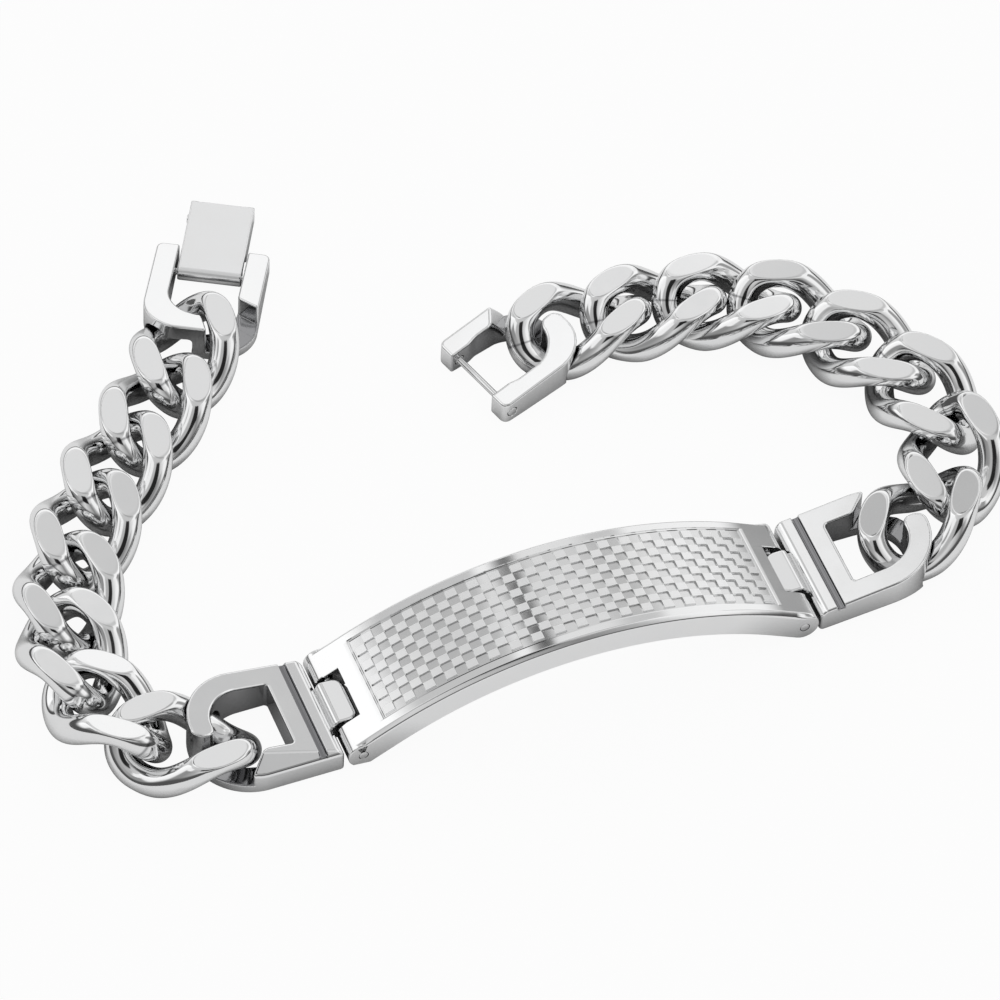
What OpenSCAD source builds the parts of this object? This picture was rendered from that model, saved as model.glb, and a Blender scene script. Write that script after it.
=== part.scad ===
// Curb chain bracelet with a curved name plate and a fold-over clasp,
// lying open on a flat top. Millimetres, +Z up, everything rests on z = 0.

/* [Plate] */
// Length of the name plate over its rounded ends
plate_len = 47.8; // [35:0.1:60]
// Width of the name plate
plate_w = 12.3; // [9:0.1:16]
// Thickness of the name plate
plate_t = 3.0; // [2:0.1:4]
// Radius of the plate's top along its length
plate_r = 42; // [32:1:60]
// Angle from the middle to where the plate runs on straight
plate_arc = 29; // [15:1:32]
// Length of the groove frame along the plate
frame_len = 39.9; // [30:0.1:50]
// Width of the groove frame across the plate
frame_w = 9.75; // [6:0.05:12]
// Depth of the groove frame
frame_deep = 0.15; // [0.05:0.05:0.4]
// Width of the notch in the plate's end for the end link's tongue
notch_w = 5.9; // [4:0.1:9]
// How far that notch runs in beyond the hinge pin
notch_in = 1.7; // [1.5:0.05:3]

/* [Hinge pins] */
// Diameter of the pin at each end of the plate
hinge_pin_d = 0.9; // [0.5:0.05:1.5]
// Gap all round between a pin and its hole
pin_gap = 0.06; // [0.03:0.01:0.2]

/* [End links] */
// Length of an end link from its straight edge to the top of its bow
end_len = 13.3; // [10:0.1:18]
// Width of an end link
end_w = 11.8; // [9:0.1:15]
// Radius of the eye and half its width
eye_r = 3.65; // [3:0.05:5]
// From the straight edge to the flat side of the eye
eye_from = 4.3; // [3:0.1:6]
// Height of an end link at its straight edge
end_h = 2.5; // [2:0.1:4]
// Rise of its top towards the bow, in degrees
end_rise = 9.5; // [0:0.5:14]
// From the straight edge to the middle of the cross groove
groove_at = 2.05; // [1:0.05:3]
// Width of the cross groove
groove_w = 0.65; // [0.2:0.05:1]
// Depth of the cross groove
groove_deep = 0.4; // [0.1:0.05:0.6]
// Width of the tongue between the plate's ears
tongue_w = 5.4; // [3:0.1:8]
// Radius of the tongue's knuckle
tongue_r = 1.35; // [1:0.05:1.5]
// Gap between the plate's end and the end link
end_gap = 0.25; // [0.1:0.05:0.6]

/* [Links] */
// Diameter of the wire
wire_d = 2.95; // [2:0.05:4]
// Half length of the wire loop
loop_a = 5.95; // [4:0.05:8]
// Half width of the wire loop before the twist
loop_b = 3.9; // [3:0.05:6]
// Twist of each end of the loop, in degrees
loop_twist = 42; // [20:1:60]
// Shape of the loop, 2 is an oval and more is squarer
loop_power = 2.25; // [2:0.05:3]
// Thickness of a link between its ground-flat faces
link_t = 4.8; // [3:0.05:7]

/* [Shackles] */
// From the crossbar to the outside of the bow
bow_end = 9.8; // [8:0.1:13]
// Width of the left shackle
left_w = 11.2; // [8:0.1:14]
// Room between the arms of the left shackle
left_room = 6.8; // [4:0.1:8]
// Width of the right shackle
right_w = 10.4; // [8:0.1:14]
// Room between the arms of the right shackle
right_room = 6.1; // [4:0.1:8]
// From the left crossbar to the tips of its arms
left_tip = 2.8; // [1:0.1:3]
// From the right crossbar to the tips of its arms
right_tip = 1.0; // [1:0.05:3]
// Width of the bow
bow_w = 2.3; // [1.5:0.1:4]
// Outer corner radius of the bow
bow_r = 3.8; // [2:0.1:5]
// Height of a shackle at its crossbar
arm_h = 2.6; // [1.5:0.1:4]
// Rise of the top towards the bow, in degrees
arm_rise = 10.5; // [0:0.5:14]
// Height of the low side of each bow, where the link passes over
low_h = 1.05; // [0.6:0.05:2]

/* [Clasp] */
// Height of the crossbars above the rest plane
bar_z = 1.2; // [0.8:0.05:2]
// Diameter of the left crossbar, the clasp's hinge pin
left_bar_d = 0.7; // [0.4:0.05:1.2]
// Diameter of the right crossbar between the arms
right_bar_d = 0.65; // [0.4:0.05:1.2]
// Diameter of the right crossbar's heads in the arms
bar_head_d = 1.0; // [0.6:0.05:1.6]
// Length of the clasp's lever from the crossbar to its free end
flap_len = 8.7; // [6:0.1:12]
// Width of the lever
flap_w = 5.9; // [4:0.1:8]
// Thickness of the lever's top and sides
flap_t = 0.7; // [0.4:0.05:1.2]
// Radius of the curl round the left crossbar
curl_r = 0.8; // [0.6:0.05:1.2]

/* [Hidden] */
$fn = 64;
steel = [0.80, 0.81, 0.82];

// Where the plate's middle lies and the way its length points
plate_at = [6.55, -18.35];
plate_turn = 23.8;
// Where the crossbar of each shackle lies and the way its bow points
left_at = [-29.55, 25.6];
left_turn = 265;
right_at = [-2.62, 14.06];
right_turn = 41;
// Middle of the whole layout, moved to the origin
mid = [1.48, -2.24];

// Chain on the left, from the plate to the clasp; +x of a link points on along the chain
// x, y, height of the middle, heading, roll, pitch
left_chain = [
    [-28.35, -33.70, 2.45, 179.5, -0.5, -0.5],
    [-35.55, -30.70, 3.05, 136.5, 10.0, 3.5],
    [-39.40, -23.85, 2.95, 105.5, 8.5, 3.5],
    [-40.30, -16.85, 2.90, 92.0, 7.5, 1.5],
    [-39.35, -8.65, 2.85, 77.5, 6.5, 1.5],
    [-36.95, -0.90, 2.70, 73.0, 4.5, 2.0],
    [-33.70, 6.65, 2.75, 67.5, 3.5, -1.0],
    [-31.35, 14.45, 2.40, 79.0, 0.0, 0.0]
];
// Chain on the right, from the plate to the clasp, same columns
right_chain = [
    [40.35, -1.95, 2.82, 50.5, -6.0, -5.0],
    [43.30, 5.60, 2.97, 89.5, -4.0, -6.0],
    [40.60, 13.50, 2.60, 123.5, 1.0, -1.5],
    [35.10, 19.15, 2.60, 144.5, 2.0, -0.5],
    [28.30, 22.85, 2.85, 160.0, 3.0, -3.0],
    [21.10, 24.00, 2.90, 180.0, 5.0, -2.0],
    [13.95, 22.80, 2.80, 197.5, 4.5, -1.0],
    [6.75, 20.40, 2.61, 201.5, 3.5, 2.5]
];

eps = 0.01;
far = 40;
nose_r = plate_t / 2;
pin_x = plate_len / 2 - nose_r;
// The plate's top arc is centred here below its middle, so its ends rest on z = 0
arc_mid_r = plate_r - plate_t / 2;
run_on = (pin_x - arc_mid_r * sin(plate_arc)) / cos(plate_arc);
arc_z = nose_r + run_on * sin(plate_arc) - arc_mid_r * cos(plate_arc);
end_x = plate_len / 2 + end_gap;
knuckle_x = pin_x - end_x;
hinge_hole_d = hinge_pin_d + 2 * pin_gap;
bow_x = end_len - end_w / 2;
// Round cuts in the inner corners of the notches, set in from their walls
relief_r = 0.4;
relief_in = 0.6 * relief_r;
relief_side = 0.4 * relief_r;
// The tongue's flat part: how far below the pin it begins, its height and its root in the bar
tongue_down = 0.9 * tongue_r;
tongue_h = 1.5 * tongue_r;
tongue_root = 1;
edge_cut = 0.7;
frame_line = 0.2;
// The cut down on the low side of each bow begins here and slants outwards
low_from_end = 7.2;
low_from_shackle = 4.4;
end_slant = 1.0;
shackle_slant = 0.5;
low_side_y = 0.5;
end_side_y = 1.1;
// The arms lean a little, like the ends of a link. On the left of the left end link
// the outer top edge stays low while the rest rises, and on the right of all four
// pieces the outer lower edge rises, each as a flat face this steep across the arm
lean = 0.89;
end_edge_drop = 0.25;
end_edge_rise = 0.12;
shackle_edge_rise = 0.1;
tip_r = 0.4;
bar_hole_gap = 0.05;
flap_clear = 0.05;
// The snap nub on the lever's right side
nub_r = 0.45;
nub_z = 0.9;
nub_out = 0.3;
nub_in = 0.2;
nub_from_end = 1.5;

// Rings along a link's wire and points round each ring
rings = 36;
round_pts = 12;
// Room cut for a link's wire in the bow that it passes through
wire_room = wire_d / 2 + 0.3;

function loop_x(t) = loop_a * sign(cos(t)) * pow(abs(cos(t)), 2 / loop_power);
function loop_y(t) = loop_b * sign(sin(t)) * pow(abs(sin(t)), 2 / loop_power);
function loop_turn(t) = loop_twist * sin(90 * loop_x(t) / loop_a);
function loop_pt(t) = [
    loop_x(t),
    loop_y(t) * cos(loop_turn(t)),
    -loop_y(t) * sin(loop_turn(t))
];
function unit(v) = v / norm(v);
function flat(p) = [p[0], p[1], max(-link_t / 2, min(link_t / 2, p[2]))];
function ring(t, step) =
    let (
        along = unit(loop_pt(t + step) - loop_pt(t - step)),
        side = unit(cross(along, [0, 0, 1])),
        up = cross(side, along)
    )
    [for (j = [0 : round_pts - 1])
        let (a = 360 * (j + 0.5) / round_pts)
        flat(loop_pt(t) + wire_d / 2 * (cos(a) * side + sin(a) * up))];

link_points = [for (i = [0 : rings - 1]) each ring(360 * (i + 0.5) / rings, 360 / rings)];
link_faces = [
    for (i = [0 : rings - 1], j = [0 : round_pts - 1])
        let (
            a = i * round_pts + j,
            b = ((i + 1) % rings) * round_pts + j,
            c = ((i + 1) % rings) * round_pts + (j + 1) % round_pts,
            d = i * round_pts + (j + 1) % round_pts
        )
        each [[a, c, b], [a, d, c]]
];

module in_frame() {
    translate([-mid[0], -mid[1], 0]) children();
}

module at_row(row) {
    translate([row[0], row[1], row[2]]) rotate([row[4], row[5], row[3]]) children();
}

module chain_link(row) {
    color(steel) in_frame() at_row(row) polyhedron(points = link_points, faces = link_faces, convexity = 6);
}

// A round bar from p to q, a little longer at both ends
module bar_between(p, q, r) {
    v = q - p;
    over = 0.5;
    translate(p - over * unit(v))
        rotate([0, acos(v[2] / norm(v)), atan2(v[1], v[0])])
            cylinder(h = norm(v) + 2 * over, r = r, $fn = 32);
}

// Room for the link's wire round the end of the link at angle t_mid
module wire_path(row, t_mid) {
    step = 24;
    at_row(row)
        for (t = [t_mid - 4 * step : step : t_mid + 3 * step])
            bar_between(loop_pt(t), loop_pt(t + step), wire_room);
}

// All that lies above the plane through p that rises by a along x and by b along y
module above_plane(p, a, b) {
    n = [-a, -b, 1];
    translate(p) rotate([0, acos(1 / norm(n)), atan2(n[1], n[0])])
        translate([-far, -far, 0]) cube([2 * far, 2 * far, far]);
}

module below_plane(p, a, b) {
    n = [-a, -b, 1];
    translate(p) rotate([0, acos(1 / norm(n)), atan2(n[1], n[0])])
        translate([-far, -far, -far]) cube([2 * far, 2 * far, far]);
}

module at_plate() {
    translate([plate_at[0], plate_at[1], 0]) rotate(plate_turn) children();
}

module at_plate_end(side) {
    at_plate() rotate(side < 0 ? 180 : 0) translate([end_x, 0, 0]) children();
}

module at_left_shackle() {
    translate([left_at[0], left_at[1], 0]) rotate(left_turn) children();
}

module at_right_shackle() {
    translate([right_at[0], right_at[1], 0]) rotate(right_turn) children();
}

// Puts a drawing of x and z upright and gives it the width w across y
module upright(w) {
    rotate([90, 0, 0]) linear_extrude(height = w, center = true) children();
}

module along_y(d, len) {
    rotate([90, 0, 0]) cylinder(h = len, d = d, center = true);
}

module plate_side() {
    difference() {
        translate([0, arc_z]) circle(plate_r, $fn = 256);
        translate([0, arc_z]) circle(plate_r - plate_t, $fn = 256);
        for (s = [-1, 1])
            translate([0, arc_z]) rotate(-s * plate_arc) translate([s > 0 ? 0 : -far * 2, -far * 2])
                square([far * 2, far * 4]);
    }
    for (s = [-1, 1]) {
        translate([0, arc_z]) rotate(-s * plate_arc)
            translate([s > 0 ? -eps : -run_on, plate_r - plate_t]) square([run_on + eps, plate_t]);
        translate([s * pin_x, nose_r]) circle(nose_r);
    }
}

module end_notch() {
    translate([pin_x, 0, nose_r]) rotate([0, plate_arc, 0]) {
        translate([-notch_in, -notch_w / 2, -far / 4]) cube([far, notch_w, far / 2]);
        for (s = [-1, 1])
            translate([relief_in - notch_in, s * (notch_w / 2 - relief_side), -far / 4])
                cylinder(r = relief_r, h = far / 2, $fn = 32);
    }
}

module groove_frame() {
    top_r = plate_r - frame_deep;
    turn = asin(frame_len / 2 / plate_r);
    translate([0, 0, arc_z]) {
        for (s = [-1, 1]) {
            translate([0, s * frame_w / 2, 0]) intersection() {
                difference() {
                    along_y(2 * (plate_r + 1), frame_line, $fn = 256);
                    along_y(2 * top_r, 1, $fn = 256);
                }
                translate([-frame_len / 2, -1, 0]) cube([frame_len, 2, plate_r + 2]);
            }
            rotate([0, s * turn, 0])
                translate([-frame_line / 2, -frame_w / 2, top_r]) cube([frame_line, frame_w, 1]);
        }
    }
}

module id_plate() {
    color(steel) in_frame() at_plate() difference() {
        upright(plate_w) plate_side();
        for (a = [0, 180]) rotate(a) end_notch();
        for (s = [-1, 1]) translate([s * pin_x, 0, nose_r]) along_y(hinge_hole_d, far);
        groove_frame();
    }
}

module hinge_pin(side) {
    color(steel) in_frame() at_plate() translate([side * pin_x, 0, nose_r])
        along_y(hinge_pin_d, plate_w);
}

module hinge_pin_left() {
    hinge_pin(-1);
}

module hinge_pin_right() {
    hinge_pin(1);
}

function end_top(x) = end_h + x * tan(end_rise);

module end_outline() {
    difference() {
        union() {
            translate([0, -end_w / 2]) square([bow_x, end_w]);
            translate([bow_x, 0]) circle(end_w / 2, $fn = 96);
        }
        translate([eye_from, -eye_r]) square([bow_x - eye_from, 2 * eye_r]);
        translate([bow_x, 0]) intersection() {
            circle(eye_r);
            translate([-eps, -eye_r]) square(2 * eye_r);
        }
    }
}

// The side of a bow that is cut down: beyond x0, to the left of side_y and above low_h
module low_side(x0, y_in, slant, side_y) {
    translate([0, 0, low_h]) linear_extrude(height = far) polygon([
        [x0, side_y], [x0, y_in],
        [x0 + (far - y_in) * slant, far], [far, far], [far, side_y]
    ]);
}

module end_shape(top_lean) {
    difference() {
        intersection() {
            linear_extrude(height = far) end_outline();
            upright(far) polygon([[0, 0], [far, 0], [far, end_top(far)], [0, end_top(0)]]);
        }
        low_side(low_from_end, eye_r, end_slant, end_side_y);
        if (top_lean) above_plane([0, end_w / 2, end_h - end_edge_drop], 0, -lean);
        below_plane([0, -end_w / 2, 0], end_edge_rise, -lean);
        translate([groove_at, 0, end_top(groove_at)]) rotate([0, -end_rise, 0])
            cube([groove_w, far, 2 * groove_deep], center = true);
        translate([0, 0, end_h]) rotate([0, 45, 0]) cube([edge_cut, far, edge_cut], center = true);
    }
    difference() {
        union() {
            translate([knuckle_x, 0, nose_r]) along_y(2 * tongue_r, tongue_w);
            translate([knuckle_x, -tongue_w / 2, nose_r - tongue_down])
                cube([tongue_root - knuckle_x, tongue_w, tongue_h]);
        }
        translate([knuckle_x, 0, nose_r]) along_y(hinge_hole_d, far);
    }
}

module end_link_left() {
    color(steel) in_frame() difference() {
        at_plate_end(-1) end_shape(true);
        wire_path(left_chain[0], 180);
    }
}

module end_link_right() {
    color(steel) in_frame() difference() {
        at_plate_end(1) end_shape(false);
        wire_path(right_chain[0], 180);
    }
}

function arm_top(x) = arm_h + x * tan(arm_rise);

module shackle_outline(w, room, tip) {
    xo = bow_end - bow_r;
    xi = bow_end - bow_w - room / 2;
    difference() {
        union() {
            translate([tip_r - tip, -w / 2]) square([xo + tip - tip_r, w]);
            translate([-tip, -w / 2 + tip_r]) square([2 * tip_r, w - 2 * tip_r]);
            for (s = [-1, 1]) {
                translate([tip_r - tip, s * (w / 2 - tip_r)]) circle(tip_r, $fn = 32);
                translate([xo, s * (w / 2 - bow_r)]) circle(bow_r);
            }
            translate([xo, -w / 2 + bow_r]) square([bow_r, w - 2 * bow_r]);
        }
        translate([-tip - 1, -room / 2]) square([xi + tip + 1, room]);
        translate([xi, 0]) circle(room / 2);
    }
}

module shackle_shape(w, room, tip) {
    difference() {
        intersection() {
            linear_extrude(height = far) shackle_outline(w, room, tip);
            upright(far) polygon([[-2 * tip, 0], [far, 0], [far, arm_top(far)], [-2 * tip, arm_top(-2 * tip)]]);
        }
        low_side(low_from_shackle, room / 2, shackle_slant, low_side_y);
        below_plane([0, -w / 2, 0], shackle_edge_rise, -lean);
    }
}

module shackle_left() {
    color(steel) in_frame() difference() {
        at_left_shackle() difference() {
            shackle_shape(left_w, left_room, left_tip);
            translate([0, 0, bar_z]) along_y(left_bar_d + 2 * bar_hole_gap, far);
        }
        wire_path(left_chain[7], 0);
    }
}

module shackle_right() {
    color(steel) in_frame() difference() {
        at_right_shackle() difference() {
            shackle_shape(right_w, right_room, right_tip);
            translate([0, 0, bar_z]) along_y(bar_head_d + 2 * bar_hole_gap, far);
        }
        wire_path(right_chain[7], 0);
    }
}

module clasp_pin_left() {
    color(steel) in_frame() at_left_shackle() translate([0, 0, bar_z]) along_y(left_bar_d, left_w);
}

module clasp_bar_right() {
    head_len = (right_w - right_room) / 2;
    color(steel) in_frame() at_right_shackle() translate([0, 0, bar_z]) {
        along_y(right_bar_d, right_w - head_len);
        for (s = [-1, 1]) translate([0, s * (right_w - head_len) / 2, 0]) along_y(bar_head_d, head_len);
    }
}

module clasp_flap() {
    side_from = left_tip + 0.4;
    color(steel) in_frame() at_left_shackle() difference() {
        union() {
            translate([0, 0, bar_z]) along_y(2 * curl_r, flap_w);
            translate([-flap_len, -flap_w / 2, bar_z + curl_r - flap_t]) cube([flap_len, flap_w, flap_t]);
            for (s = [-1, 1])
                translate([-flap_len, s * (flap_w - flap_t) / 2 - flap_t / 2, 0])
                    cube([flap_len - side_from, flap_t, bar_z + curl_r - eps]);
            translate([-flap_len + nub_from_end, -flap_w / 2 - nub_out, nub_z])
                rotate([-90, 0, 0]) cylinder(r = nub_r, h = nub_out + nub_in, $fn = 32);
        }
        translate([0, 0, bar_z]) along_y(left_bar_d + 2 * flap_clear, far);
    }
}

module link_left_1() { chain_link(left_chain[0]); }
module link_left_2() { chain_link(left_chain[1]); }
module link_left_3() { chain_link(left_chain[2]); }
module link_left_4() { chain_link(left_chain[3]); }
module link_left_5() { chain_link(left_chain[4]); }
module link_left_6() { chain_link(left_chain[5]); }
module link_left_7() { chain_link(left_chain[6]); }
module link_left_8() { chain_link(left_chain[7]); }
module link_right_1() { chain_link(right_chain[0]); }
module link_right_2() { chain_link(right_chain[1]); }
module link_right_3() { chain_link(right_chain[2]); }
module link_right_4() { chain_link(right_chain[3]); }
module link_right_5() { chain_link(right_chain[4]); }
module link_right_6() { chain_link(right_chain[5]); }
module link_right_7() { chain_link(right_chain[6]); }
module link_right_8() { chain_link(right_chain[7]); }

id_plate();
hinge_pin_left();
hinge_pin_right();
end_link_left();
end_link_right();
link_left_1();
link_left_2();
link_left_3();
link_left_4();
link_left_5();
link_left_6();
link_left_7();
link_left_8();
link_right_1();
link_right_2();
link_right_3();
link_right_4();
link_right_5();
link_right_6();
link_right_7();
link_right_8();
shackle_left();
shackle_right();
clasp_pin_left();
clasp_bar_right();
clasp_flap();
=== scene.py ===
"""Curb chain bracelet: the looks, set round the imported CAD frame.

Lengths are in millimetres and angles in degrees, where no other unit is named.
"""
import math
import bmesh
import bpy
import numpy as np
from mathutils import Matrix, Vector


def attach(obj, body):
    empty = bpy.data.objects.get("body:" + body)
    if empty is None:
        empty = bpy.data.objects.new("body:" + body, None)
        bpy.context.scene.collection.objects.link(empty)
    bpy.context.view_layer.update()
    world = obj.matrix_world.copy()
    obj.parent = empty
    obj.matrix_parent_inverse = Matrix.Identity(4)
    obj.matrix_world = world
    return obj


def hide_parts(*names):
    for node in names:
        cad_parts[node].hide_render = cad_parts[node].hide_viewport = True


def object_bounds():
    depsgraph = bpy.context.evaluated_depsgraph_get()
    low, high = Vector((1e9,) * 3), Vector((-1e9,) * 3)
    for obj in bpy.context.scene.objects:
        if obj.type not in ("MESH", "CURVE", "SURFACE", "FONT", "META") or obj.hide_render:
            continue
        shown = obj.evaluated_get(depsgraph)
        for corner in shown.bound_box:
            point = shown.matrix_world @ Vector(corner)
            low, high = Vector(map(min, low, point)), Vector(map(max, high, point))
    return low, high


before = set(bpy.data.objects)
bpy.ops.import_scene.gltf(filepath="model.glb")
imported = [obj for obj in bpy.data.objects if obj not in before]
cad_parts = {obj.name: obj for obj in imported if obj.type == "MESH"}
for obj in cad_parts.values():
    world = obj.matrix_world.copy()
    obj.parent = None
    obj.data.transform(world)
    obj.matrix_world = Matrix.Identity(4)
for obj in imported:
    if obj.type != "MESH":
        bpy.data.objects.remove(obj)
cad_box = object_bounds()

MM = 0.001
CHAIN_BODY = "bracelet"

# Sizes and places, as in the CAD

# the middle of the laid-out bracelet in the CAD's drawing, which is the frame's origin
MID = (1.48, -2.24)

# name plate: its size, the radius of its top, how far its arc reaches each way, its middle and heading
PLATE_LEN, PLATE_W, PLATE_T = 47.8, 12.3, 3.0
PLATE_R, PLATE_ARC = 42.0, 29.0
PLATE_AT, PLATE_TURN = (6.55, -18.35), 23.8
ARC = math.radians(PLATE_ARC)
# its groove frame
FRAME_LEN, FRAME_W, FRAME_DEEP = 39.9, 9.75, 0.15
# a notch in each end leaves two ears with a pin through them
NOTCH_W, NOTCH_IN = 5.9, 1.7
NOSE_R = PLATE_T / 2
PIN_X = PLATE_LEN / 2 - NOSE_R
PIN_HOLE_R = 0.51

# chain link: its wire's radius, half its loop's length and width, twist, squareness, and ground height
WIRE_R = 1.475
LOOP_A, LOOP_B, LOOP_TWIST, LOOP_POWER = 5.95, 3.9, 42.0, 2.25
LINK_T = 4.8

# end link: its size, the climb of its top, its opening, and the gap between it and the plate
END_LEN, END_W, END_H = 13.3, 11.8, 2.5
END_RISE = math.radians(9.5)
EYE_R, EYE_FROM = 3.65, 4.3
END_GAP = 0.25
END_BOW_X = END_LEN - END_W / 2
KNUCKLE_X = PIN_X - PLATE_LEN / 2 - END_GAP
# where its bow steps down to the low part, along it and across it, the step's slant, and the cross groove
END_LOW_X, END_LOW_Y, END_SLANT = 7.2, 1.1, 1.0
GROOVE_AT, GROOVE_W, GROOVE_DEEP = 2.05, 0.72, 0.42

# clasp shackle: its bow's reach, width, corner radius, height, climb and step down, and the bar's height
BOW_END, BOW_W, BOW_CORNER, BOW_H = 9.8, 2.3, 3.8, 2.6
BOW_RISE = math.radians(10.5)
BOW_LOW_X, BOW_LOW_Y, BOW_SLANT = 4.4, 0.5, 0.5
BAR_Z = 1.2
# width, room between the arms, reach of the arms behind the bar, radius of the bar's hole, place and heading
LEFT_SHACKLE = {"width": 11.2, "room": 6.8, "tip": 2.8, "hole": 0.40, "at": (-29.55, 25.6), "turn": 265.0}
RIGHT_SHACKLE = {"width": 10.4, "room": 6.1, "tip": 1.0, "hole": 0.55, "at": (-2.62, 14.06), "turn": 41.0}

# each chain link's x, y, z, heading, roll and pitch, from the end link to the clasp
LEFT_CHAIN = [
    (-28.35, -33.70, 2.45, 179.5, -0.5, -0.5),
    (-35.55, -30.70, 3.05, 136.5, 10.0, 3.5),
    (-39.40, -23.85, 2.95, 105.5, 8.5, 3.5),
    (-40.30, -16.85, 2.90, 92.0, 7.5, 1.5),
    (-39.35, -8.65, 2.85, 77.5, 6.5, 1.5),
    (-36.95, -0.90, 2.70, 73.0, 4.5, 2.0),
    (-33.70, 6.65, 2.75, 67.5, 3.5, -1.0),
    (-31.35, 14.45, 2.40, 79.0, 0.0, 0.0),
]
RIGHT_CHAIN = [
    (40.35, -1.95, 2.82, 50.5, -6.0, -5.0),
    (43.30, 5.60, 2.97, 89.5, -4.0, -6.0),
    (40.60, 13.50, 2.60, 123.5, 1.0, -1.5),
    (35.10, 19.15, 2.60, 144.5, 2.0, -0.5),
    (28.30, 22.85, 2.85, 160.0, 3.0, -3.0),
    (21.10, 24.00, 2.90, 180.0, 5.0, -2.0),
    (13.95, 22.80, 2.80, 197.5, 4.5, -1.0),
    (6.75, 20.40, 2.61, 201.5, 3.5, 2.5),
]

# Steel

# scale per metre and detail of the noises: cloudy wear, hairline scratches, shallow dents and brushed grain
WEAR, SCRATCHES, DENTS, GRAIN = (260.0, 5.0), (5200.0, 3.0), (420.0, 1.0), (1.0, 4.0)
GRAIN_STRETCH = (250.0, 9000.0, 9000.0)
# how much the wear's fine clouds count, the part of it that roughness follows, and the least roughness
WEAR_FINE, WEAR_FROM, WEAR_TO = 0.6, 0.3, 0.7
LEAST_ROUGH = 0.02
# shares of a steel's tone where it is worn, clean, and darkened for dark seams and painted shade
WORN, CLEAN, SEAM_AND_SHADE_TONE = (0.955, 0.96, 0.97), (1.0, 1.0, 0.995), (0.30, 0.30, 0.31)
# sockets of a Mix node for colours
MIX_FACTOR, MIX_A, MIX_B, MIX_RESULT = 0, 6, 7, 2


def tinted(tone, shares):
    return tuple(tone * share for share in shares) + (1,)


def set_inputs(nt, node, inputs):
    """Sets a node's inputs to values, or joins them to other nodes' sockets."""
    for key, val in inputs.items():
        if isinstance(val, bpy.types.NodeSocket):
            nt.links.new(val, node.inputs[key])
        else:
            node.inputs[key].default_value = val
    return node


def add_node(nt, kind, inputs, **settings):
    node = nt.nodes.new(kind)
    for key, val in settings.items():
        setattr(node, key, val)
    return set_inputs(nt, node, inputs)


def maths(nt, operation, *values):
    return add_node(nt, "ShaderNodeMath", dict(enumerate(values)), operation=operation).outputs[0]


def add_noise(nt, vector, scale, detail):
    return add_node(nt, "ShaderNodeTexNoise", {"Vector": vector, "Scale": scale, "Detail": detail})


def steel_colour(nt, tone, wear):
    """The steel's colour: duller with wear, and darker where the mesh's attribute says so: dark solder
    seams, and painted shade.
    """
    ramp = add_node(nt, "ShaderNodeValToRGB", {"Fac": wear})
    for mark, shares in zip(ramp.color_ramp.elements, (WORN, CLEAN)):
        mark.color = tinted(tone, shares)
    seam_and_shade = add_node(nt, "ShaderNodeAttribute", {}, attribute_type="GEOMETRY", attribute_name="seam_and_shade")
    seam_and_shade_mix = add_node(nt, "ShaderNodeMix", {MIX_B: tinted(tone, SEAM_AND_SHADE_TONE)}, data_type="RGBA")
    set_inputs(nt, seam_and_shade_mix, {MIX_FACTOR: seam_and_shade.outputs["Fac"], MIX_A: ramp.outputs["Color"]})
    return seam_and_shade_mix.outputs[MIX_RESULT]


def steel_height(nt, coord, scratch, dent, grain, grain_turn):
    """Scratches in all directions, shallow dents, and brushed grain in the direction grain_turn."""
    height = maths(nt, "MULTIPLY", add_noise(nt, coord, *SCRATCHES).outputs["Fac"], scratch)
    if dent:
        height = maths(nt, "MULTIPLY_ADD", add_noise(nt, coord, *DENTS).outputs["Fac"], dent, height)
    if grain:
        turn = {"Vector": coord, "Rotation": (0, 0, -math.radians(grain_turn)), "Scale": GRAIN_STRETCH}
        turned = add_node(nt, "ShaderNodeMapping", turn).outputs["Vector"]
        height = maths(nt, "MULTIPLY_ADD", add_noise(nt, turned, *GRAIN).outputs["Fac"], grain, height)
    return height


def steel(name, tone, rough, rough_swing, scratch, dent=0.0, grain=0.0, grain_turn=0.0):
    """Steel whose roughness varies by rough_swing. scratch, dent and grain are bump heights in metres."""
    mat = bpy.data.materials.new(name)
    mat.use_nodes = True
    nt = mat.node_tree
    coord = nt.nodes.new("ShaderNodeTexCoord").outputs["Object"]
    wear = set_inputs(nt, add_noise(nt, coord, *WEAR), {"Roughness": WEAR_FINE}).outputs["Fac"]
    # a little rougher where hands touch it
    to_rough = add_node(nt, "ShaderNodeMapRange", {
        "Value": wear, "From Min": WEAR_FROM, "From Max": WEAR_TO,
        "To Min": max(LEAST_ROUGH, rough - rough_swing), "To Max": rough + rough_swing,
    })
    height = steel_height(nt, coord, scratch, dent, grain, grain_turn)
    bump = add_node(nt, "ShaderNodeBump", {"Distance": 1.0, "Strength": 1.0, "Height": height})
    set_inputs(nt, nt.nodes["Principled BSDF"], {
        "Metallic": 1.0, "Base Color": steel_colour(nt, tone, wear),
        "Roughness": to_rough.outputs["Result"], "Normal": bump.outputs["Normal"],
    })
    return mat


LINK_STEEL = steel("polished_link_steel", 0.86, 0.07, 0.03, 1.6e-7, dent=1.2e-6)
END_STEEL = steel("polished_end_steel", 0.87, 0.09, 0.03, 1.8e-7, dent=1.0e-6)
PLATE_STEEL = steel("polished_plate_steel", 0.87, 0.09, 0.03, 1.8e-7, 8e-7, 3.0e-7, PLATE_TURN)
# the recess is etched steel, and its tone is set lower still as painted shade between the raised checks
RECESS_STEEL_AND_SHADE = steel("etched_recess_steel_and_shade", 0.74, 0.12, 0.04, 4.0e-7, 0.0, 3.0e-7, PLATE_TURN + 90)
CHECK_STEEL = steel("satin_check_steel", 0.92, 0.33, 0.05, 3.0e-7, 0.0, 4.0e-7, PLATE_TURN)
SATIN_STEEL = steel("satin_clasp_steel", 0.93, 0.20, 0.04, 2.5e-7, 0.0, 5.0e-7, LEFT_SHACKLE["turn"])
PIN_STEEL = steel("pin_steel", 0.78, 0.14, 0.05, 3.0e-7)


# Placing

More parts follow.
